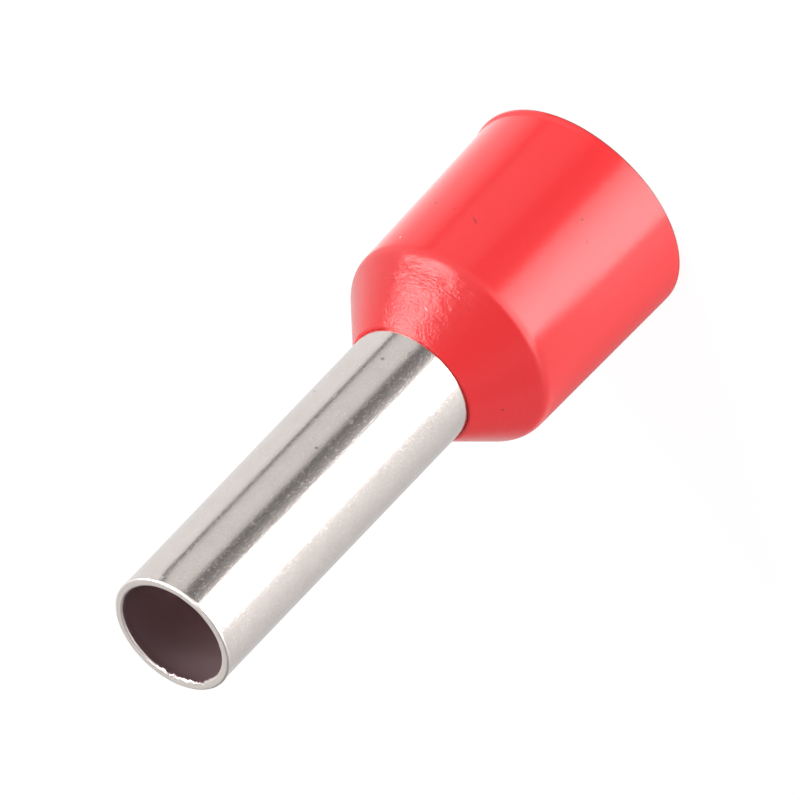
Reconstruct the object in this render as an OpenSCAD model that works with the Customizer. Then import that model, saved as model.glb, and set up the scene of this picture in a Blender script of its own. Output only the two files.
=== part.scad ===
// Insulated wire end ferrule: a thin tin-plated copper sleeve, belled at the back, in a moulded
// plastic collar. The sleeve is crimped on bare strands and the collar covers the wire's insulation.
//
// Millimetres. The origin is the centre of the collar's rear rim, and the axis is +Z, towards the
// sleeve's open mouth. Both pieces are turned outlines, written as [radius, height, corner radius].

/* [Sleeve] */
// Bore of the sleeve, which takes the bare strands
sleeve_bore_d = 3.5; // [2.6:0.1:4.2]
// Wall of the sleeve
sleeve_wall = 0.2; // [0.12:0.02:0.3]
// Length of the sleeve that stands out of the collar
pin_len = 11.8; // [6:0.1:22]
// Radial clearance between the bell's rim and the collar's bore
bell_clearance = 0.15; // [0.05:0.01:0.4]
// Radius of the bend between the sleeve and its bell
bell_bend = 0.4; // [0.1:0.05:0.5]

/* [Mouth] */
// How far the sheared lip stands out past the sleeve's outside
lip_rise = 0.03; // [0:0.01:0.06]
// How far the sheared lip turns in over the bore
lip_burr = 0.05; // [0:0.01:0.08]
// Length of the lip along the sleeve
lip_len = 0.3; // [0.2:0.05:0.8]
// Rounding of the lip's two edges
lip_round = 0.07; // [0.02:0.01:0.09]

/* [Collar] */
// Bore of the collar, which takes the insulated wire
collar_bore_d = 6.3; // [5.6:0.1:8]
// Wall of the collar at its rear end
collar_wall = 0.38; // [0.3:0.01:0.8]
// Length of the whole collar
collar_len = 8.2; // [5:0.1:14]
// Moulding draft: radius that the outside loses from the rear end to the shoulder
draft = 0.11; // [0:0.01:0.15]
// Rounding of the shoulder between the body and the cone
shoulder_round = 0.6; // [0.1:0.05:0.8]

/* [Cone] */
// Length of the cone that runs in to the sleeve
cone_len = 1.85; // [1.4:0.05:2.6]
// Wall of the cone, square to its surface
cone_wall = 0.35; // [0.3:0.01:0.5]
// Wall of the nose, where the cone ends on the sleeve
nose_wall = 0.08; // [0.05:0.01:0.15]
// Radial clearance of the grip around the sleeve, 0 for a press fit
grip_clearance = 0; // [0:0.005:0.03]

/* [Rim] */
// How far the rear rim's bead stands out past the body
rim_rise = 0.06; // [0:0.01:0.1]
// Length of the bead along the collar
rim_len = 0.25; // [0.15:0.05:1]
// Rounding of the rim's outer edge
rim_round = 0.06; // [0.02:0.01:0.12]
// Lead-in chamfer at the rim's inner edge
lead_in = 0.08; // [0.02:0.01:0.12]

/* [Hidden] */
$fn = 128;
// Straight steps in each rounded corner of an outline
arc_steps = 8;

total_len = collar_len + pin_len;
strand_r = sleeve_bore_d / 2;
sleeve_r = strand_r + sleeve_wall;

wire_r = collar_bore_d / 2;
bell_r = wire_r - bell_clearance;
body_r = wire_r + collar_wall;
rim_r = body_r + rim_rise;
shoulder_z = collar_len - cone_len;
shoulder_r = body_r - draft;
grip_r = sleeve_r + grip_clearance;
nose_r = grip_r + nose_wall;

// The cone's slope, outwards and down, and the normal that points to its inner side
cone_run = shoulder_r - nose_r;
cone_slant = norm([cone_run, cone_len]);
cone_normal = [-cone_len, -cone_run] / cone_slant;

// Where a surface that lies this deep under the cone's outside has the radius r
function cone_point(r, depth) =
    [r, collar_len - (r - nose_r + depth * cone_slant / cone_len) * cone_len / cone_run];

// The funnel inside the cone: the bell sits on it face to face
bell_rim = cone_point(bell_r, cone_wall);
sleeve_throat = cone_point(sleeve_r, cone_wall);
strand_throat = cone_point(strand_r, cone_wall + sleeve_wall);

// Corner radius r fitted into the corner at b, between the straight lines to a and c
function rounded_corner(a, b, c, r) =
    let (
        to_a = (a - b) / norm(a - b),
        to_c = (c - b) / norm(c - b),
        half = acos(to_a * to_c) / 2,
        centre = b + (to_a + to_c) / norm(to_a + to_c) * r / sin(half),
        start = b + to_a * r / tan(half) - centre,
        end = b + to_c * r / tan(half) - centre,
        first = atan2(start.y, start.x),
        turn = atan2(end.y, end.x) - first,
        sweep = turn > 180 ? turn - 360 : turn < -180 ? turn + 360 : turn
    )
    [for (i = [0:arc_steps])
        centre + r * [cos(first + sweep * i / arc_steps), sin(first + sweep * i / arc_steps)]];

// Turned piece from its corners, each [radius, height, corner radius]
module turned(corners) {
    count = len(corners);
    function at(i) = [corners[(i + count) % count].x, corners[(i + count) % count].y];
    rotate_extrude()
        polygon([for (i = [0:count - 1])
            each corners[i].z > 0
                ? rounded_corner(at(i - 1), at(i), at(i + 1), corners[i].z)
                : [at(i)]]);
}

// Thin copper tube, sheared square at the mouth and belled at the back
module crimp_sleeve() {
    bell_edge = bell_rim + sleeve_wall * cone_normal;
    color("silver")
        turned([
            [bell_rim.x, bell_rim.y, 0],
            [sleeve_r, sleeve_throat.y, bell_bend],
            [sleeve_r, total_len - lip_len, 0],
            [sleeve_r + lip_rise, total_len, lip_round],
            [strand_r - lip_burr, total_len, lip_round],
            [strand_r, total_len - lip_len, 0],
            [strand_r, strand_throat.y, bell_bend + sleeve_wall],
            [bell_edge.x, bell_edge.y, 0],
        ]);
}

// Moulded collar: a drafted tube with a beaded rim, and a cone that grips the sleeve
module insulating_collar() {
    funnel_foot = cone_point(wire_r, cone_wall);
    color("#f93e40")
        turned([
            [wire_r + lead_in, 0, 0],
            [rim_r, 0, rim_round],
            [rim_r, rim_len / 2, 0],
            [body_r, rim_len, 0],
            [shoulder_r, shoulder_z, shoulder_round],
            [nose_r, collar_len, 0],
            [grip_r, collar_len, 0],
            [grip_r, cone_point(grip_r, cone_wall).y, bell_bend],
            [wire_r, funnel_foot.y, 0],
            [wire_r, lead_in, 0],
        ]);
}

crimp_sleeve();
insulating_collar();
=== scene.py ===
"""Insulated wire end ferrule: a tin-plated copper sleeve in a moulded red collar, on a pale studio floor."""
import math

import bpy
from bpy.props import FloatProperty, FloatVectorProperty, PointerProperty
from mathutils import Matrix, Vector


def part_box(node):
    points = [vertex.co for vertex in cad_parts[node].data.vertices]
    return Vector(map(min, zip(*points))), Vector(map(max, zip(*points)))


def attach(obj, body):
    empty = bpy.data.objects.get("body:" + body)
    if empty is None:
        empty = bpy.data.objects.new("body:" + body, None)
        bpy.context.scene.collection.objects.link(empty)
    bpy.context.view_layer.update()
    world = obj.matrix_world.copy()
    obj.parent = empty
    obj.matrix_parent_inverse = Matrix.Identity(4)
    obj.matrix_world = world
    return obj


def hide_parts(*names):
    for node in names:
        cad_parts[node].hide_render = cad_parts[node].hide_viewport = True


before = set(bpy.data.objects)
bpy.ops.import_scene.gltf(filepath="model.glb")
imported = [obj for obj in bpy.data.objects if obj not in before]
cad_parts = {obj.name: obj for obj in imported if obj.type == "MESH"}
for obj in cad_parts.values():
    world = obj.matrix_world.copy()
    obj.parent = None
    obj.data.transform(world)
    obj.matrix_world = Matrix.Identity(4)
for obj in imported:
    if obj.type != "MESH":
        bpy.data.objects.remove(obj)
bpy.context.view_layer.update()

bl_info = {
    "name": "Wire End Ferrule",
    "version": (1, 0, 0),
    "blender": (4, 5, 0),
    "location": "View3D > Sidebar > Ferrule",
    "description": "Builds an insulated wire end ferrule on a studio floor",
    "category": "Object",
}

MM = 0.001
SLEEVE_LOW, SLEEVE_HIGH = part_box("crimp_sleeve")
COLLAR_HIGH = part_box("insulating_collar")[1]


# ---------------------------------------------------------------- small helpers

def linear(code):
    """Scene-linear colour of an sRGB hex code, with alpha 1."""
    channels = (int(code[i:i + 2], 16) / 255 for i in (0, 2, 4))
    return (*(c / 12.92 if c <= 0.04045 else ((c + 0.055) / 1.055) ** 2.4 for c in channels), 1.0)


def grey(level):
    return (level, level, level, 1.0)


def add(tree, kind, sockets=(), stops=(), **settings):
    """Adds a node with these settings to the tree, and returns it.

    sockets gives its inputs, by name or number. Each is a value, another node's output, or another node,
    which stands for the first output that it has in use. stops are a colour ramp's places and colours.
    """
    made = tree.nodes.new(kind)
    for name, value in settings.items():
        setattr(made, name, value)
    for name, value in dict(sockets).items():
        if isinstance(value, bpy.types.Node):
            value = next(output for output in value.outputs if output.enabled)
        if isinstance(value, bpy.types.NodeSocket):
            tree.links.new(value, made.inputs[name])
        else:
            made.inputs[name].default_value = value
    for i, (place, tone) in enumerate(stops):
        elements = made.color_ramp.elements
        stop = elements[i] if i < 2 else elements.new(place)
        stop.position, stop.color = place, tone
    return made


def around_axis(tree, place):
    """Direction away from the Z axis, distance from it and height, for each place on a surface."""
    flat = add(tree, "ShaderNodeVectorMath", {0: place, 1: (1.0, 1.0, 0.0)}, operation="MULTIPLY")
    outwards = add(tree, "ShaderNodeVectorMath", {0: flat}, operation="NORMALIZE")
    radius = add(tree, "ShaderNodeVectorMath", {0: flat}, operation="LENGTH")
    height = add(tree, "ShaderNodeSeparateXYZ", {0: place}).outputs["Z"]
    return outwards, radius, height


def share_of_turn(tree, x, y):
    """Angle of atan2(x, y), as a share of the turn from -180 to 180 degrees."""
    turn = add(tree, "ShaderNodeMath", {0: x, 1: y}, operation="ARCTAN2")
    return add(tree, "ShaderNodeMapRange", {"Value": turn, "From Min": -math.pi, "From Max": math.pi})


def empty_tree(owner):
    """Node tree of a new material or world, with nothing in it yet."""
    owner.use_nodes = True
    owner.node_tree.nodes.clear()
    return owner.node_tree


# ---------------------------------------------------------------- sizes and colours

def length(name, description, default):
    return FloatProperty(name=name, description=description, default=default, min=0, max=30 * MM,
                         precision=6, unit="LENGTH", subtype="DISTANCE")


def colour(name, description, code):
    return FloatVectorProperty(name=name, description=description, default=linear(code)[:3], min=0, max=1,
                               size=3, subtype="COLOR")


class FerruleSleeveSizes(bpy.types.PropertyGroup):
    """Sizes of the thin tin-plated copper sleeve"""
    bore_radius: length("Bore Radius", "Inside radius of the sleeve, for the bare strands", 1.75 * MM)
    wall: length("Wall", "Thickness of the sleeve's wall", 0.2 * MM)
    # A hair below the CAD's top, so that rounding can't put the mesh past it
    mouth_height: length("Mouth Height", "Height of the sheared mouth above the rear rim",
                         SLEEVE_HIGH.z - 0.0005 * MM)
    lip_length: length("Lip Length", "How far down the sleeve the sheared lip reaches", 0.3 * MM)
    lip_rise: length("Lip Rise", "How far the lip stands out past the sleeve's outside", 0.03 * MM)
    lip_burr: length("Lip Burr", "How far the lip turns in over the bore", 0.05 * MM)
    lip_round: length("Lip Rounding", "Rounding of the lip's two edges", 0.07 * MM)
    raggedness: length("Raggedness", "How far the sheared edge strays", 0.03 * MM)
    burr: length("Burr", "How far the torn part of the edge hangs over the bore", 0.3 * MM)
    torn_length: length("Torn Length", "How far down from the mouth the edge strays and is torn", 0.22 * MM)
    torn_depth: length("Torn Depth", "How far into the wall the tears reach", 0.12 * MM)
    bend: length("Bend", "Radius of the bend between the sleeve and its bell", 0.4 * MM)
    bell_radius: length("Bell Radius", "Outside radius of the bell at the sleeve's rear end", SLEEVE_HIGH.x)
    bell_bottom: length("Bell Bottom", "Height of the bell's lowest edge", SLEEVE_LOW.z)
    bell_length: length("Bell Length", "From the bell's lowest edge up to the bend", 1.52 * MM)
    bell_round: length("Bell Rounding", "Rounding of the bell's two edges", 0.03 * MM)


class FerruleCollarSizes(bpy.types.PropertyGroup):
    """Sizes of the moulded collar"""
    bore_radius: length("Bore Radius", "Inside radius of the collar, for the insulated wire", 3.15 * MM)
    lead_in: length("Lead-in", "Chamfer at the rim's inner edge", 0.08 * MM)
    rim_radius: length("Rim Radius", "Outside radius of the rear rim's bead", COLLAR_HIGH.x)
    rim_rise: length("Rim Rise", "How far the rim's bead stands out past the body", 0.06 * MM)
    rim_length: length("Rim Length", "Length of the bead along the collar", 0.25 * MM)
    rim_round: length("Rim Rounding", "Rounding of the rim's outer edge", 0.06 * MM)
    bead_round: length("Bead Rounding", "Rounding where the bead runs out into the body", 0.05 * MM)
    draft: length("Draft", "Radius that the outside loses from the rim to the shoulder", 0.11 * MM)
    shoulder_round: length("Shoulder Rounding", "Radius of the shoulder", 0.6 * MM)
    cone_length: length("Cone Length", "Length of the cone that runs in to the sleeve", 1.85 * MM)
    cone_wall: length("Cone Wall", "Wall of the cone, square to its surface", 0.35 * MM)
    funnel_round: length("Funnel Rounding", "Rounding where the bore meets the funnel", 0.1 * MM)
    nose_height: length("Nose Height", "Height of the nose, where the cone ends on the sleeve", COLLAR_HIGH.z)
    nose_wall: length("Nose Wall", "Wall of the nose", 0.08 * MM)
    nose_round: length("Nose Rounding", "Rounding of the nose's outer edge", 0.03 * MM)
    grip_radius: length("Grip Radius", "Radius of the hole that grips the sleeve", 1.95 * MM)
    grip_bend: length("Grip Bend", "Radius of the bend between the funnel and the grip", 0.4 * MM)
    groove_width: length("Groove Width", "Width of the groove between the nose and the sleeve", 0.02 * MM)
    groove_depth: length("Groove Depth", "Depth of that groove", 0.03 * MM)
    edge_round: length("Edge Rounding", "Rounding of the lead-in's edges", 0.02 * MM)


class FerruleColours(bpy.types.PropertyGroup):
    """Colours of the ferrule and of the floor it stands on"""
    tin: colour("Tin", "Bright tin plating on the sleeve", "E3DAD5")
    # The next two colours are painted shade inside the bore, darker next to the mouth and paler further in
    bore_shade_near_mouth: colour("Dull Tin", "Thin plating inside the bore, next to the mouth", "8E7478")
    bore_shade_further_in: colour("Bare Copper", "Deep inside the bore, where copper shows through", "CCB4B6")
    plastic: colour("Plastic", "Red polypropylene of the collar", "F7363A")
    dark_scratch: colour("Dark Scratch", "Scratches that hold dirt", "C8343A")
    pale_scratch: colour("Pale Scratch", "Scratches that are clean and stretched white", "FFB0B0")
    # Besides the specks, this colour is painted shade along the rear rim's lowest edge, next to the floor
    grime_and_rim_shade: colour("Grime", "Specks on the collar and dirt on its rear edge", "862B31")
    floor: colour("Floor", "Pale studio floor", "F4F4F4")


# ---------------------------------------------------------------- turned pieces

# Straight steps in each rounded corner of an outline
CORNER_STEPS = 8
# The most rows that one straight part of an outline is cut into
MOST_ROWS = 40
# Edges that bend more than this are drawn sharp
SHARP_BEND = math.radians(28)


def turned_tree(name, sizes, corners, segments, row_height, fine_above=None):
    """Geometry Nodes tree that turns an outline about Z, as far as its bare shell.

    sizes are the names of its inputs, Bore Radius among them. corners are the outline's corners, each as the
    names of its radius, its height and its rounding, or None where it is sharp. Straight parts are cut into
    rows, so that the surface can stray along them, and into four times as many above the height fine_above.
    """
    tree = bpy.data.node_groups.new(name, "GeometryNodeTree")
    tree.interface.new_socket("Geometry", in_out="OUTPUT", socket_type="NodeSocketGeometry")
    for size in sizes:
        tree.interface.new_socket(size, in_out="INPUT", socket_type="NodeSocketFloat")
    tree.interface.new_socket("Material", in_out="INPUT", socket_type="NodeSocketMaterial")
    given = add(tree, "NodeGroupInput").outputs

    # Each corner's place and rounding, picked by the point's number
    index = add(tree, "GeometryNodeInputIndex")
    places = add(tree, "GeometryNodeIndexSwitch", data_type="VECTOR")
    rounds = add(tree, "GeometryNodeIndexSwitch", data_type="FLOAT")
    for switch in (places, rounds):
        while len(switch.index_switch_items) < len(corners):
            switch.index_switch_items.new()
        tree.links.new(index.outputs[0], switch.inputs["Index"])
    for i, (radius, height, rounding) in enumerate(corners, start=1):
        corner = add(tree, "ShaderNodeCombineXYZ", {"X": given[radius], "Y": given[height]})
        tree.links.new(corner.outputs[0], places.inputs[i])
        if rounding:
            tree.links.new(given[rounding], rounds.inputs[i])

    # The outline is swept round a circle of the bore's radius, with its heights along -Y
    ring = given["Bore Radius"]
    on_ring = add(tree, "ShaderNodeCombineXYZ", {"X": ring})
    from_ring = add(tree, "ShaderNodeVectorMath", {0: places, 1: on_ring}, operation="SUBTRACT")
    profile = add(tree, "ShaderNodeVectorMath", {0: from_ring, 1: (1.0, -1.0, 1.0)}, operation="MULTIPLY")
    points = add(tree, "GeometryNodePoints", {"Count": len(corners), "Position": profile})
    outline = add(tree, "GeometryNodePointsToCurves", {"Points": points, "Weight": index})
    closed = add(tree, "GeometryNodeSetSplineCyclic", {"Geometry": outline, "Cyclic": True})
    rounded = add(tree, "GeometryNodeFilletCurve", {"Curve": closed, "Count": CORNER_STEPS, "Radius": rounds,
                  "Limit Radius": True}, mode="POLY")

    # Rows on the straight parts, by the distance from each point to the next one
    here = add(tree, "GeometryNodeInputPosition")
    after = add(tree, "ShaderNodeMath", {0: index, 1: 1.0}, operation="ADD")
    beyond = add(tree, "GeometryNodeFieldAtIndex", {"Index": after, "Value": here}, data_type="FLOAT_VECTOR",
                 domain="POINT")
    run = add(tree, "ShaderNodeVectorMath", {0: beyond, 1: here}, operation="DISTANCE")
    rows = add(tree, "ShaderNodeMath", {0: run, 1: row_height}, operation="DIVIDE")
    if fine_above:
        both = add(tree, "ShaderNodeVectorMath", {0: here, 1: beyond}, operation="ADD")
        height = add(tree, "ShaderNodeMath", {0: add(tree, "ShaderNodeSeparateXYZ", {0: both}).outputs["Y"],
                     1: -0.5}, operation="MULTIPLY")
        upper = add(tree, "ShaderNodeMath", {0: height, 1: given[fine_above]}, operation="GREATER_THAN")
        finer = add(tree, "ShaderNodeMath", {0: upper, 1: 3.0, 2: 1.0}, operation="MULTIPLY_ADD")
        rows = add(tree, "ShaderNodeMath", {0: rows, 1: finer}, operation="MULTIPLY")
    cuts = add(tree, "ShaderNodeMath", {0: rows, 1: MOST_ROWS}, operation="MINIMUM")
    cut = add(tree, "GeometryNodeSubdivideCurve", {"Curve": rounded, "Cuts": cuts})
    circle = add(tree, "GeometryNodeCurvePrimitiveCircle", {"Resolution": segments, "Radius": ring})
    shell = add(tree, "GeometryNodeCurveToMesh", {"Curve": circle, "Profile Curve": cut})
    return tree, shell, given, here


def finish_turned(tree, shell, given, offset):
    """Ends the tree: the shell's faces outwards, its points moved by offset, shaded and with its material."""
    outwards = add(tree, "GeometryNodeFlipFaces", {"Mesh": shell})
    moved = add(tree, "GeometryNodeSetPosition", {"Geometry": outwards, "Offset": offset})
    smooth = add(tree, "GeometryNodeSetShadeSmooth", {"Geometry": moved, "Shade Smooth": True})
    angle = add(tree, "GeometryNodeInputMeshEdgeAngle").outputs["Unsigned Angle"]
    sharp = add(tree, "FunctionNodeCompare", {0: angle, 1: SHARP_BEND}, data_type="FLOAT",
                operation="GREATER_THAN")
    crisp = add(tree, "GeometryNodeSetShadeSmooth", {"Geometry": smooth, "Selection": sharp,
                "Shade Smooth": False}, domain="EDGE")
    real = add(tree, "GeometryNodeRealizeInstances", {"Geometry": crisp})
    finished = add(tree, "GeometryNodeSetMaterial", {"Geometry": real, "Material": given["Material"]})
    add(tree, "NodeGroupOutput", {"Geometry": finished})


def build(name, tree, values):
    """Plain mesh object made by the tree with these values for its named inputs, at the origin."""
    carrier = bpy.data.objects.new(name + "_carrier", bpy.data.meshes.new(name + "_carrier"))
    bpy.context.scene.collection.objects.link(carrier)
    maker = carrier.modifiers.new("Turned", "NODES")
    maker.node_group = tree
    for item in tree.interface.items_tree:
        if item.in_out == "INPUT":
            maker[item.identifier] = values[item.name]
    evaluated = carrier.evaluated_get(bpy.context.evaluated_depsgraph_get())
    mesh = bpy.data.meshes.new_from_object(evaluated)
    carrier.modifiers.remove(maker)
    bpy.data.objects.remove(carrier)
    mesh.name = name
    piece = bpy.data.objects.new(name, mesh)
    bpy.context.scene.collection.objects.link(piece)
    if not mesh.polygons:
        raise RuntimeError(f"{name} came out empty")
    return piece


# ---------------------------------------------------------------- materials

def tin_plated_copper(colours, sizes):
    """Bright tin over drawn copper tube: a clear but grainy mirror, with faint lines along the draw.

    Inside the bore its colour is painted shade: darker next to the mouth, paler and pinker further in.
    """
    material = bpy.data.materials.new("bright_tin_plated_copper")
    tree = empty_tree(material)
    place = add(tree, "ShaderNodeTexCoord").outputs["Object"]
    _, radius, height = around_axis(tree, place)
    bore, mouth = sizes.bore_radius, sizes.mouth_height

    # The bore's face, from just under the lip's rounded edge
    within = add(tree, "ShaderNodeMapRange", {"Value": radius, "From Min": bore + 0.05 * MM,
                 "From Max": bore + 0.01 * MM})
    below = add(tree, "ShaderNodeMapRange", {"Value": height, "From Min": mouth - 0.025 * MM,
                "From Max": mouth - 0.07 * MM})
    inside = add(tree, "ShaderNodeMath", {0: within, 1: below}, operation="MULTIPLY")

    # Grain of the plating, 22 crystals to the millimetre. The real ones are some ten times finer, and
    # wouldn't show.
    drawn = add(tree, "ShaderNodeMapping", {"Vector": place, "Scale": (1, 1, 0.7)})
    grain = add(tree, "ShaderNodeTexNoise", {"Vector": drawn, "Scale": 22 / MM, "Detail": 2,
                "Roughness": 0.5})
    # Draw lines, about 0.2 mm apart and 7 mm long
    along = add(tree, "ShaderNodeMapping", {"Vector": place, "Scale": (1, 1, 0.03)})
    lines = add(tree, "ShaderNodeTexNoise", {"Vector": along, "Scale": 5 / MM, "Detail": 4, "Roughness": 0.6})
    # Soft clouds in the plating, about 0.7 mm across
    cloud = add(tree, "ShaderNodeTexNoise", {"Vector": place, "Scale": 1.4 / MM, "Detail": 3,
                "Roughness": 0.6})
    # Pits in the plating, up to 0.15 mm across and about one for each 8 mm2
    spots = add(tree, "ShaderNodeTexVoronoi", {"Vector": place, "Scale": 0.95 / MM})
    pit = add(tree, "ShaderNodeMapRange", {"Value": spots, "From Min": 0.07, "From Max": 0.035})

    # A bright mirror between rougher crystals. The pits, the sheared lip and the bore are rougher still.
    rough = add(tree, "ShaderNodeMapRange", {"Value": grain, "From Min": 0.53, "From Max": 0.72,
                "To Min": 0.13, "To Max": 0.28})
    rough_pit = add(tree, "ShaderNodeMix", {"Factor": pit, "A": rough, "B": 0.5})
    lip = add(tree, "ShaderNodeMapRange", {"Value": height, "From Min": mouth - 0.12 * MM,
              "From Max": mouth - 0.05 * MM})
    rough_lip = add(tree, "ShaderNodeMix", {"Factor": lip, "A": rough_pit, "B": 0.3})
    rough_bore = add(tree, "ShaderNodeMix", {"Factor": inside, "A": rough_lip, "B": 0.5})
    relief = add(tree, "ShaderNodeMath", {0: lines, 1: grain}, operation="ADD")
    bump = add(tree, "ShaderNodeBump", {"Height": relief, "Strength": 0.35, "Distance": 0.007 * MM})

    # Plating a little darker between its crystals, much darker in the pits, and painted shade in the bore
    mottle = add(tree, "ShaderNodeMath", {0: grain, 1: 1.2, 2: cloud}, operation="MULTIPLY_ADD")
    shade = add(tree, "ShaderNodeMapRange", {"Value": mottle, "From Min": 0.85, "From Max": 1.35,
                "To Min": 0.93, "To Max": 1.0})
    worn = add(tree, "ShaderNodeMix", {"Factor": pit, "A": shade, "B": 0.4})
    tin = add(tree, "ShaderNodeMix", {"Factor": worn, "A": grey(0), "B": (*colours.tin, 1)}, data_type="RGBA")
    # Painted shade in the bore: darker next to the mouth, paler deeper in
    deep = add(tree, "ShaderNodeMapRange", {"Value": height, "From Min": mouth - 0.2 * MM,
               "From Max": mouth - 2.0 * MM})
    painted_bore_shade = add(tree, "ShaderNodeMix", {"Factor": deep, "A": (*colours.bore_shade_near_mouth, 1),
               "B": (*colours.bore_shade_further_in, 1)}, data_type="RGBA")
    tint = add(tree, "ShaderNodeMix", {"Factor": inside, "A": tin, "B": painted_bore_shade}, data_type="RGBA")
    # The bore is also partly non-metallic
    metal = add(tree, "ShaderNodeMapRange", {"Value": inside, "To Min": 1.0, "To Max": 0.8})
    shader = add(tree, "ShaderNodeBsdfPrincipled", {"Base Color": tint, "Metallic": metal,
                 "Roughness": rough_bore, "Normal": bump})
    add(tree, "ShaderNodeOutputMaterial", {"Surface": shader})
    return material


# Which way the side of the cone with the strongest mould marks faces
MARKED_SIDE = (0.5, -0.87, 0.0)
# How the short scratches on the collar are turned, in radians
SCRATCH_TURN = (0.0, 0.6, 0.5)


def moulded_polypropylene(colours, sizes):
    """Red polypropylene from a fine-textured mould: semi-gloss and a little waxy.

    The mould left tool marks on the cone, and handling left a few specks and scratches.
    """
    material = bpy.data.materials.new("moulded_red_polypropylene")
    tree = empty_tree(material)
    place = add(tree, "ShaderNodeTexCoord").outputs["Object"]
    outwards, _, height = around_axis(tree, place)
    nose = sizes.nose_height
    shoulder = nose - sizes.cone_length

    # Texture of the mould, about 0.17 mm across. The real one is finer, and wouldn't show.
    fine = add(tree, "ShaderNodeTexNoise", {"Vector": place, "Scale": 6 / MM, "Detail": 3, "Roughness": 0.55})
    # Tool marks that the mould left round the cone, about 0.3 mm long and 0.07 mm wide, and matt blotches
    # about 0.08 mm across that take over towards the nose
    flattened = add(tree, "ShaderNodeMapping", {"Vector": place, "Scale": (1, 1, 4)})
    marks = add(tree, "ShaderNodeTexNoise", {"Vector": flattened, "Scale": 3.4 / MM, "Detail": 2,
                "Roughness": 0.6, "Distortion": 0.8})
    blotches = add(tree, "ShaderNodeTexNoise", {"Vector": place, "Scale": 13 / MM, "Detail": 2,
                   "Roughness": 0.5})
    flatter = add(tree, "ShaderNodeMath", {0: blotches, 1: 0.6}, operation="MULTIPLY")
    nearer = add(tree, "ShaderNodeMapRange", {"Value": height, "From Min": nose - 1.4 * MM,
                 "From Max": nose - 0.3 * MM})
    tooling = add(tree, "ShaderNodeMix", {"Factor": nearer, "A": marks, "B": flatter})
    # They come in patches about 1 mm across, strong on one side of the cone and faint on the other
    patches = add(tree, "ShaderNodeTexNoise", {"Vector": place, "Scale": 1.1 / MM, "Detail": 2,
                  "Roughness": 0.5})
    amount = add(tree, "ShaderNodeMapRange", {"Value": patches, "From Min": 0.35, "From Max": 0.65,
                 "To Min": 6.0, "To Max": 22.0})
    facing = add(tree, "ShaderNodeVectorMath", {0: outwards, 1: MARKED_SIDE}, operation="DOT_PRODUCT")
    side = add(tree, "ShaderNodeMapRange", {"Value": facing, "From Min": 0.84, "From Max": 0.97,
               "To Min": 0.12, "To Max": 1.0})
    marked = add(tree, "ShaderNodeMath", {0: side, 1: amount}, operation="MULTIPLY")
    cone = add(tree, "ShaderNodeMapRange", {"Value": height, "From Min": shoulder - 0.05 * MM,
               "From Max": shoulder + 0.55 * MM})
    depth = add(tree, "ShaderNodeMath", {0: cone, 1: marked}, operation="MULTIPLY")
    texture = add(tree, "ShaderNodeMath", {0: tooling, 1: depth, 2: fine}, operation="MULTIPLY_ADD")

    # Dark specks up to 0.12 mm across, and short scratches from handling, up to 0.4 mm long
    spots = add(tree, "ShaderNodeTexVoronoi", {"Vector": place, "Scale": 0.95 / MM})
    speck = add(tree, "ShaderNodeMapRange", {"Value": spots, "From Min": 0.055, "From Max": 0.03})
    askew = add(tree, "ShaderNodeMapping", {"Vector": place, "Rotation": SCRATCH_TURN, "Scale": (6, 1, 1)},
                vector_type="TEXTURE")
    streaks = add(tree, "ShaderNodeTexVoronoi", {"Vector": askew, "Scale": 1.5 / MM})
    scratch = add(tree, "ShaderNodeMapRange", {"Value": streaks, "From Min": 0.055, "From Max": 0.03})
    chance = add(tree, "ShaderNodeSeparateColor", {0: streaks.outputs["Color"]})
    pale = add(tree, "ShaderNodeMapRange", {"Value": chance, "From Min": 0.55, "From Max": 0.56})
    scratched = add(tree, "ShaderNodeMix", {"Factor": pale, "A": (*colours.dark_scratch, 1),
                    "B": (*colours.pale_scratch, 1)}, data_type="RGBA")
    scored = add(tree, "ShaderNodeMath", {0: scratch, 1: -2.0, 2: texture}, operation="MULTIPLY_ADD")
    bump = add(tree, "ShaderNodeBump", {"Height": scored, "Strength": 0.5, "Distance": 0.006 * MM})
    rough = add(tree, "ShaderNodeMapRange", {"Value": fine, "From Min": 0.3, "From Max": 0.7,
                "To Min": 0.18, "To Max": 0.23})

    # Grime in the specks, and painted shade along the sharp outer edge of the rear rim, next to the floor
    edge = add(tree, "ShaderNodeMapRange", {"Value": height, "From Min": 0.07 * MM, "From Max": 0.04 * MM})
    grime_and_rim_shade = add(tree, "ShaderNodeMath", {0: speck, 1: edge}, operation="MAXIMUM")
    marked_red = add(tree, "ShaderNodeMix", {"Factor": scratch, "A": (*colours.plastic, 1), "B": scratched},
                     data_type="RGBA")
    red = add(tree, "ShaderNodeMix", {"Factor": grime_and_rim_shade, "A": marked_red, "B": (*colours.grime_and_rim_shade, 1)},
              data_type="RGBA")
    shader = add(tree, "ShaderNodeBsdfPrincipled", {"Base Color": red, "Roughness": rough, "IOR": 1.49,
                 "Normal": bump})
    add(tree, "ShaderNodeOutputMaterial", {"Surface": shader})
    return material


# ---------------------------------------------------------------- pieces

SLEEVE_SEGMENTS = 320
SLEEVE_ROW = 0.12 * MM
# Which way the torn part of the sheared mouth faces
BURR_SIDE = (-0.77, 0.64, 0.0)
# The bell's wall is square to its slope, so it takes this share of its thickness outwards and along the axis
BELL_ACROSS, BELL_ALONG = 0.8, 0.6
# How far below the outer bend the inner one lies, as a share of the wall
INNER_BEND_DROP = 0.45
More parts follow.
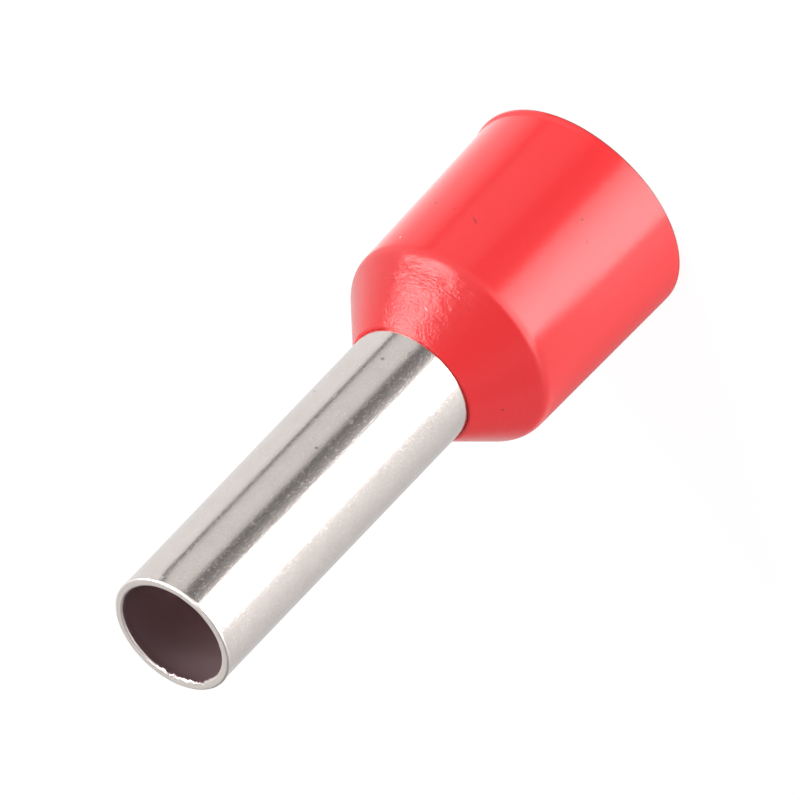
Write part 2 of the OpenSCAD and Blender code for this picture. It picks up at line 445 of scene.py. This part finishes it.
# Radius, height and rounding of each corner of the sleeve's outline
SLEEVE_CORNERS = (
    ("Bell Radius", "Bell Top", "Bell Rounding"),
    ("Outside Radius", "Throat Height", "Bend"),
    ("Outside Radius", "Neck Height", None),
    ("Lip Radius", "Mouth Height", "Lip Rounding"),
    ("Lip Inner Radius", "Mouth Height", "Lip Rounding"),
    ("Bore Radius", "Neck Height", None),
    ("Bore Radius", "Inner Throat Height", "Inner Bend"),
    ("Bell Inner Radius", "Bell Bottom", "Bell Rounding"),
)


class FERRULE_OT_sleeve(bpy.types.Operator):
    """Build the tin-plated copper sleeve with its sheared mouth and its bell"""
    bl_idname = "ferrule.sleeve"
    bl_label = "Build Sleeve"

    def execute(self, context):
        sizes = context.scene.ferrule_sleeve
        outside = sizes.bore_radius + sizes.wall
        throat = sizes.bell_bottom + sizes.bell_length
        values = {
            "Bore Radius": sizes.bore_radius,
            "Outside Radius": outside,
            "Lip Radius": outside + sizes.lip_rise,
            "Lip Inner Radius": sizes.bore_radius - sizes.lip_burr,
            "Lip Rounding": sizes.lip_round,
            "Mouth Height": sizes.mouth_height,
            "Neck Height": sizes.mouth_height - sizes.lip_length,
            "Throat Height": throat,
            "Inner Throat Height": throat - sizes.wall * INNER_BEND_DROP,
            "Bend": sizes.bend,
            "Inner Bend": sizes.bend + sizes.wall,
            "Bell Radius": sizes.bell_radius,
            "Bell Inner Radius": sizes.bell_radius - sizes.wall * BELL_ACROSS,
            "Bell Top": sizes.bell_bottom + sizes.wall * BELL_ALONG,
            "Bell Bottom": sizes.bell_bottom,
            "Bell Rounding": sizes.bell_round,
            "Raggedness": sizes.raggedness,
            "Burr": sizes.burr,
            "Torn Height": sizes.mouth_height - sizes.torn_length,
            "Torn Radius": sizes.bore_radius + sizes.torn_depth,
        }
        tree, shell, given, here = turned_tree("turned_sleeve", values, SLEEVE_CORNERS, SLEEVE_SEGMENTS,
                                               SLEEVE_ROW, "Neck Height")
        finish_turned(tree, shell, given, self.shearing(tree, given, here))
        values["Material"] = tin_plated_copper(context.scene.ferrule_colours, sizes)
        piece = build("tin_plated_sleeve", tree, values)
        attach(piece, "root")
        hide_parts("crimp_sleeve")
        return {"FINISHED"}

    def shearing(self, tree, given, here):
        """How shearing moved the mouth: its edge strays all round, and part of its inner side is torn."""
        outwards, radius, height = around_axis(tree, here)
        near = add(tree, "ShaderNodeMapRange", {"Value": height, "From Min": given["Torn Height"],
                   "From Max": given["Mouth Height"]}, interpolation_type="SMOOTHSTEP")

        waves = add(tree, "ShaderNodeTexNoise", {"Vector": here, "Scale": 2.6 / MM, "Detail": 2,
                    "Roughness": 0.6})
        wave = add(tree, "ShaderNodeMath", {0: waves, 1: 0.5}, operation="SUBTRACT")
        reach = add(tree, "ShaderNodeMath", {0: near, 1: given["Raggedness"]}, operation="MULTIPLY")
        stray = add(tree, "ShaderNodeMath", {0: wave, 1: reach}, operation="MULTIPLY")

        tears = add(tree, "ShaderNodeTexNoise", {"Vector": here, "Scale": 5 / MM, "Detail": 3,
                    "Roughness": 0.7})
        jag = add(tree, "ShaderNodeMath", {0: tears, 1: 0.42}, operation="SUBTRACT")
        facing = add(tree, "ShaderNodeVectorMath", {0: outwards, 1: BURR_SIDE}, operation="DOT_PRODUCT")
        torn_side = add(tree, "ShaderNodeMapRange", {"Value": facing, "From Min": 0.70, "From Max": 0.86},
                        interpolation_type="SMOOTHSTEP")
        inner = add(tree, "ShaderNodeMapRange", {"Value": radius, "From Min": given["Torn Radius"],
                    "From Max": given["Bore Radius"]}, interpolation_type="SMOOTHSTEP")
        torn = add(tree, "ShaderNodeMath", {0: torn_side, 1: inner}, operation="MULTIPLY")
        hang = add(tree, "ShaderNodeMath", {0: near, 1: given["Burr"]}, operation="MULTIPLY")
        most = add(tree, "ShaderNodeMath", {0: torn, 1: hang}, operation="MULTIPLY")
        tear = add(tree, "ShaderNodeMath", {0: jag, 1: most}, operation="MULTIPLY")

        sideways = add(tree, "ShaderNodeMath", {0: stray, 1: tear}, operation="SUBTRACT")
        across = add(tree, "ShaderNodeVectorMath", {0: outwards, "Scale": sideways}, operation="SCALE")
        size = add(tree, "ShaderNodeMath", {0: tear}, operation="ABSOLUTE")
        drop = add(tree, "ShaderNodeMath", {0: size, 1: -0.6}, operation="MULTIPLY")
        down = add(tree, "ShaderNodeCombineXYZ", {"Z": drop})
        return add(tree, "ShaderNodeVectorMath", {0: across, 1: down}, operation="ADD")


COLLAR_SEGMENTS = 256
COLLAR_ROW = 0.15 * MM
# How far out of the bore the wall starts to follow the fading bead, and where it follows it fully
FADE_START, FADE_END = 0.15 * MM, 0.35 * MM
# Radius, height and rounding of each corner of the collar's outline
COLLAR_CORNERS = (
    ("Lead-in Radius", "Rear Height", "Edge Rounding"),
    ("Rim Radius", "Rear Height", "Rim Rounding"),
    ("Rim Radius", "Bead Height", "Bead Rounding"),
    ("Body Radius", "Rim Length", "Bead Rounding"),
    ("Shoulder Radius", "Shoulder Height", "Shoulder Rounding"),
    ("Nose Radius", "Nose Height", "Nose Rounding"),
    ("Groove Radius", "Nose Height", None),
    ("Grip Radius", "Groove Floor", None),
    ("Grip Radius", "Funnel Throat", "Grip Bend"),
    ("Bore Radius", "Funnel Foot", "Funnel Rounding"),
    ("Bore Radius", "Lead-in", "Edge Rounding"),
)


class FERRULE_OT_collar(bpy.types.Operator):
    """Build the moulded collar with its beaded rim, its shoulder and its cone"""
    bl_idname = "ferrule.collar"
    bl_label = "Build Collar"

    def execute(self, context):
        sizes = context.scene.ferrule_collar
        body_radius = sizes.rim_radius - sizes.rim_rise
        shoulder_radius = body_radius - sizes.draft
        nose_radius = sizes.grip_radius + sizes.nose_wall
        slope = sizes.cone_length / (shoulder_radius - nose_radius)
        wall_above = sizes.cone_wall * math.hypot(1.0, slope)

        def funnel_height(radius):
            """Height of the cone's inner face where it has this radius."""
            return sizes.nose_height - (radius - nose_radius) * slope - wall_above

        values = {
            "Bore Radius": sizes.bore_radius,
            "Lead-in": sizes.lead_in,
            "Lead-in Radius": sizes.bore_radius + sizes.lead_in,
            "Rear Height": 0.0,
            "Rim Radius": sizes.rim_radius,
            "Rim Rise": sizes.rim_rise,
            "Rim Length": sizes.rim_length,
            "Rim Rounding": sizes.rim_round,
            "Bead Height": sizes.rim_length / 2,
            "Bead Rounding": sizes.bead_round,
            "Body Radius": body_radius,
            "Shoulder Radius": shoulder_radius,
            "Shoulder Height": sizes.nose_height - sizes.cone_length,
            "Shoulder Rounding": sizes.shoulder_round,
            "Nose Radius": nose_radius,
            "Nose Height": sizes.nose_height,
            "Nose Rounding": sizes.nose_round,
            "Groove Radius": sizes.grip_radius + sizes.groove_width,
            "Groove Floor": sizes.nose_height - sizes.groove_depth,
            "Grip Radius": sizes.grip_radius,
            "Grip Bend": sizes.grip_bend,
            "Funnel Throat": funnel_height(sizes.grip_radius),
            "Funnel Foot": funnel_height(sizes.bore_radius),
            "Funnel Rounding": sizes.funnel_round,
            "Edge Rounding": sizes.edge_round,
            "Fade Start": sizes.bore_radius + FADE_START,
            "Fade End": sizes.bore_radius + FADE_END,
        }
        tree, shell, given, here = turned_tree("turned_collar", values, COLLAR_CORNERS, COLLAR_SEGMENTS,
                                               COLLAR_ROW)
        finish_turned(tree, shell, given, self.bead_fade(tree, given, here))
        values["Material"] = moulded_polypropylene(context.scene.ferrule_colours, sizes)
        piece = build("moulded_collar", tree, values)
        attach(piece, "root")
        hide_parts("insulating_collar")
        return {"FINISHED"}

    def bead_fade(self, tree, given, here):
        """The rim's bead is full on the +X side, and this draws it in on the way round to the other side."""
        outwards, radius, height = around_axis(tree, here)
        side = add(tree, "ShaderNodeSeparateXYZ", {0: outwards}).outputs["X"]
        bead = add(tree, "ShaderNodeMapRange", {"Value": side, "From Min": -0.1, "From Max": 1.0},
                   interpolation_type="SMOOTHSTEP")
        lowest = add(tree, "ShaderNodeMapRange", {"Value": height, "From Min": given["Rim Length"],
                     "From Max": given["Bead Height"]})
        outer = add(tree, "ShaderNodeMapRange", {"Value": radius, "From Min": given["Fade Start"],
                    "From Max": given["Fade End"]})
        fading = add(tree, "ShaderNodeMath", {0: bead, 1: 1.0}, operation="SUBTRACT")
        on_bead = add(tree, "ShaderNodeMath", {0: lowest, 1: outer}, operation="MULTIPLY")
        faded = add(tree, "ShaderNodeMath", {0: on_bead, 1: fading}, operation="MULTIPLY")
        shrink = add(tree, "ShaderNodeMath", {0: faded, 1: given["Rim Rise"]}, operation="MULTIPLY")
        return add(tree, "ShaderNodeVectorMath", {0: outwards, "Scale": shrink}, operation="SCALE")


# ---------------------------------------------------------------- stage

# How far the camera looks down and is turned on its side, the width that it sees, and how far the middle of
# its view lies to the right of the sleeve's mouth and above it
LOOK_DOWN, ROLL = math.radians(33.7), math.radians(136.23)
VIEW_WIDTH = 22.621 * MM
PAST_MOUTH = (6.465 * MM, 6.645 * MM)
CAMERA_DISTANCE = 0.1

# What the metal and the gloss reflect, as rings of (azimuth, level) for rays that go down, level and up, and
# UNDER for those that go straight down. Azimuths are in degrees from the camera's side, growing towards -X.
# A level of 1 is white.
LOW_RING = (
    (-180, 0.85), (-140, 0.91), (-100, 0.95), (-91, 0.93), (-88, 0.2), (-83, 0.2), (-80, 0.72), (-68, 0.8),
    (-45, 0.8), (-39, 0.72), (-32, 0.2), (-25, 0.21), (-14, 0.36), (-3, 0.6), (2, 3.4), (8, 4.6), (16, 5.9),
    (26, 7.2), (34, 7.8), (51, 7.8), (56, 1.18), (70, 1.06), (95, 0.9), (111, 0.79), (135, 0.68), (180, 0.65))
MIDDLE_RING = (
    (-180, 1.15), (-146, 1.3), (-112, 1.35), (-100, 1.6), (-50, 1.6), (-30, 1.3), (-14, 0.8), (0, 2.5),
    (16, 5.0), (54, 5.0), (60, 1.6), (90, 0.9), (114, 0.45), (146, 0.22), (180, 0.4))
HIGH_RING = (
    (-180, 0.8), (-140, 0.75), (-103, 0.75), (-97, 10.0), (-54, 10.0), (-44, 1.6), (-30, 1.2), (-16, 0.9),
    (0, 0.5), (20, 0.3), (40, 0.4), (63, 0.7), (90, 0.42), (114, 0.4), (150, 0.4), (180, 0.8))
UNDER = 0.2
BRIGHTEST = 10.0
# Light from the room and from the floor on all rays but the camera's and the mirrored ones
ROOM = 0.15
BOUNCE = 0.37
# What the camera sees of the floor: its own glow, and this much grey paper, which holds the object's shadow
FLOOR_GLOW, FLOOR_GREY = 0.9, 0.3

# The card runs from the right side round the back to the left. Its levels go by the angle from the back
# towards +X: -180 is the camera's side, -90 the right, 0 the back and 90 the left.
CARD_START, CARD_END = 40, 266
CARD_RADII = (9.5 * MM, 25 * MM)
CARD_HEIGHT = -9 * MM
CARD_STEPS = 64
CARD = (
    (-137, 7.8), (-127, 7.2), (-124, 6.4), (-121, 2.3), (-107, 1.85), (-94, 1.15), (-78, 0.75), (-62, 0.42),
    (-45, 0.3), (-25, 0.3), (-10, 0.38), (10, 1.5), (50, 1.45), (70, 1.3), (94, 1.35))

# Azimuth and elevation of each soft lamp in degrees, and its watts
LAMPS = ((-58, 18, 0.4), (62, 4, 0.39), (98, 6, 0.06), (175, 15, 0.15))
LAMP_WIDTH, LAMP_HEIGHT, LAMP_DISTANCE = 0.14, 0.08, 0.25


def grey_stops(ring):
    """Colour ramp stops for the levels of a ring, as shares of the brightest."""
    return [((azimuth + 180) / 360, grey(level / BRIGHTEST)) for azimuth, level in ring]


class FERRULE_OT_stage(bpy.types.Operator):
    """Set up the camera, the floor, the lamps and the studio that the metal and the plastic reflect"""
    bl_idname = "ferrule.stage"
    bl_label = "Set Up Stage"

    def execute(self, context):
        scene = context.scene
        scene.view_settings.view_transform = "Standard"
        self.camera(scene)
        self.studio(scene)
        self.floor(scene)
        self.card(scene)
        for azimuth, elevation, power in LAMPS:
            self.lamp(scene, azimuth, elevation, power)
        return {"FINISHED"}

    def camera(self, scene):
        """Long view from the mouth's side, turned so that the sleeve points down to the left."""
        across = Vector((1, 0, 0))
        above = Vector((0, math.sin(LOOK_DOWN), math.cos(LOOK_DOWN)))
        back = Vector((0, -math.cos(LOOK_DOWN), math.sin(LOOK_DOWN)))
        right = across * math.cos(ROLL) - above * math.sin(ROLL)
        up = across * math.sin(ROLL) + above * math.cos(ROLL)
        lens = bpy.data.cameras.new("camera")
        lens.type, lens.ortho_scale = "ORTHO", VIEW_WIDTH
        lens.clip_start, lens.clip_end = 0.001, 2.0
        camera = bpy.data.objects.new("camera", lens)
        scene.collection.objects.link(camera)
        middle = Vector((0, 0, SLEEVE_HIGH.z)) + right * PAST_MOUTH[0] + up * PAST_MOUTH[1]
        turn = Matrix((right, up, back)).transposed()
        camera.matrix_world = Matrix.Translation(middle + back * CAMERA_DISTANCE) @ turn.to_4x4()
        scene.camera = camera

    def studio(self, scene):
        """White room with a light box at the right front, one high at the left and a dark gap between."""
        world = bpy.data.worlds.new("studio")
        scene.world = world
        tree = empty_tree(world)
        world.cycles.sampling_method = "NONE"
        ray = add(tree, "ShaderNodeSeparateXYZ", {0: add(tree, "ShaderNodeTexCoord").outputs["Generated"]})
        back = [add(tree, "ShaderNodeMath", {0: ray.outputs[axis], 1: -1.0}, operation="MULTIPLY")
                for axis in ("X", "Y")]
        share = share_of_turn(tree, *back)
        low, middle, high = (add(tree, "ShaderNodeValToRGB", {"Fac": share}, grey_stops(ring))
                             for ring in (LOW_RING, MIDDLE_RING, HIGH_RING))
        # Each of the others takes over between these slopes of the ray, where 1 is straight up
        seen = low
        under = grey(UNDER / BRIGHTEST)
        for ring, start, end in ((middle, -0.4, -0.1), (high, 0.15, 0.4), (under, -0.7, -0.85)):
            taken = add(tree, "ShaderNodeMapRange", {"Value": ray.outputs["Z"], "From Min": start,
                        "From Max": end})
            seen = add(tree, "ShaderNodeMix", {"Factor": taken, "A": seen, "B": ring}, data_type="RGBA")
        rays = add(tree, "ShaderNodeLightPath").outputs
        mirrored = add(tree, "ShaderNodeBackground", {"Color": seen, "Strength": BRIGHTEST})
        white = add(tree, "ShaderNodeBackground", {"Color": grey(1.0), "Strength": 1.0})
        room = add(tree, "ShaderNodeBackground", {"Color": grey(1.0), "Strength": ROOM})
        glossy = add(tree, "ShaderNodeMixShader", {0: rays["Is Glossy Ray"], 1: room, 2: mirrored})
        plain = add(tree, "ShaderNodeMath", {0: rays["Is Camera Ray"], 1: rays["Is Transmission Ray"]},
                    operation="MAXIMUM")
        surface = add(tree, "ShaderNodeMixShader", {0: plain, 1: glossy, 2: white})
        add(tree, "ShaderNodeOutputWorld", {"Surface": surface})

    def floor(self, scene):
        """Pale paper sweep. The camera sees it as white, apart from the object's shadow."""
        material = bpy.data.materials.new("pale_paper")
        tree = empty_tree(material)
        rays = add(tree, "ShaderNodeLightPath").outputs
        sheet = add(tree, "ShaderNodeBsdfDiffuse", {"Color": (*scene.ferrule_colours.floor, 1)})
        bounce = add(tree, "ShaderNodeEmission", {"Color": grey(1.0), "Strength": BOUNCE})
        paper = add(tree, "ShaderNodeAddShader", {0: sheet, 1: bounce})
        glow = add(tree, "ShaderNodeEmission", {"Color": grey(1.0), "Strength": FLOOR_GLOW})
        faint = add(tree, "ShaderNodeBsdfDiffuse", {"Color": grey(FLOOR_GREY)})
        lit = add(tree, "ShaderNodeAddShader", {0: glow, 1: faint})
        seen = add(tree, "ShaderNodeMixShader", {0: rays["Is Camera Ray"], 1: paper, 2: lit})
        add(tree, "ShaderNodeOutputMaterial", {"Surface": seen})
        mesh = bpy.data.meshes.new("floor")
        reach, below = 0.5, -0.02 * MM
        mesh.from_pydata([(x * reach, y * reach, below) for x, y in ((-1, -1), (1, -1), (1, 1), (-1, 1))],
                         [], [(0, 1, 2, 3)])
        mesh.materials.append(material)
        floor = bpy.data.objects.new("floor", mesh)
        scene.collection.objects.link(floor)
        floor.visible_glossy = False

    def card(self, scene):
        """Curved strip of card behind the collar and under it, which only mirrored rays see."""
        material = bpy.data.materials.new("grey_scale_card")
        tree = empty_tree(material)
        place = add(tree, "ShaderNodeSeparateXYZ", {0: add(tree, "ShaderNodeTexCoord").outputs["Object"]})
        share = share_of_turn(tree, place.outputs["X"], place.outputs["Y"])
        level = add(tree, "ShaderNodeValToRGB", {"Fac": share}, grey_stops(CARD))
        glow = add(tree, "ShaderNodeEmission", {"Color": level, "Strength": BRIGHTEST})
        add(tree, "ShaderNodeOutputMaterial", {"Surface": glow})
        edges = []
        for i in range(CARD_STEPS + 1):
            a = math.radians(CARD_START + (CARD_END - CARD_START) * i / CARD_STEPS)
            edges += [(-math.sin(a) * r, -math.cos(a) * r, CARD_HEIGHT) for r in CARD_RADII]
        mesh = bpy.data.meshes.new("card")
        mesh.from_pydata(edges, [], [(2 * i, 2 * i + 1, 2 * i + 3, 2 * i + 2) for i in range(CARD_STEPS)])
        mesh.materials.append(material)
        card = bpy.data.objects.new("card", mesh)
        scene.collection.objects.link(card)
        card.visible_camera = card.visible_diffuse = card.visible_shadow = card.visible_transmission = False

    def lamp(self, scene, azimuth, elevation, power):
        """Soft light box at this azimuth and elevation, which lights the object without a hard reflection."""
        a, e = math.radians(azimuth), math.radians(elevation)
        towards = Vector((-math.sin(a) * math.cos(e), -math.cos(a) * math.cos(e), math.sin(e)))
        light = bpy.data.lights.new("light_box", "AREA")
        light.shape, light.size, light.size_y, light.energy = "RECTANGLE", LAMP_WIDTH, LAMP_HEIGHT, power
        box = bpy.data.objects.new("light_box", light)
        scene.collection.objects.link(box)
        middle = Vector((0, 0, SLEEVE_HIGH.z / 2))
        turn = towards.to_track_quat("Z", "Y").to_matrix()
        box.matrix_world = Matrix.Translation(middle + towards * LAMP_DISTANCE) @ turn.to_4x4()
        box.visible_camera = box.visible_glossy = False


# ---------------------------------------------------------------- sidebar

class FERRULE_PT_sidebar(bpy.types.Panel):
    """Sizes, colours and building steps of the ferrule"""
    bl_label = "Wire End Ferrule"
    bl_idname = "FERRULE_PT_sidebar"
    bl_space_type = "VIEW_3D"
    bl_region_type = "UI"
    bl_category = "Ferrule"

    def draw(self, context):
        scene = context.scene
        for title, group in (("Sleeve", scene.ferrule_sleeve), ("Collar", scene.ferrule_collar),
                             ("Colours", scene.ferrule_colours)):
            box = self.layout.box()
            box.label(text=title)
            for name in group.bl_rna.properties.keys():
                if name not in ("rna_type", "name"):
                    box.prop(group, name)
        steps = self.layout.column()
        for operator in OPERATORS:
            steps.operator(operator.bl_idname)


GROUPS = {"ferrule_sleeve": FerruleSleeveSizes, "ferrule_collar": FerruleCollarSizes,
          "ferrule_colours": FerruleColours}
OPERATORS = (FERRULE_OT_stage, FERRULE_OT_sleeve, FERRULE_OT_collar)
CLASSES = (*GROUPS.values(), *OPERATORS, FERRULE_PT_sidebar)


def register():
    for cls in CLASSES:
        bpy.utils.register_class(cls)
    for name, group in GROUPS.items():
        setattr(bpy.types.Scene, name, PointerProperty(type=group))


def unregister():
    for name in GROUPS:
        delattr(bpy.types.Scene, name)
    for cls in reversed(CLASSES):
        bpy.utils.unregister_class(cls)


def main():
    register()
    bpy.ops.ferrule.stage()
    bpy.ops.ferrule.sleeve()
    bpy.ops.ferrule.collar()


if __name__ == "__main__":
    main()
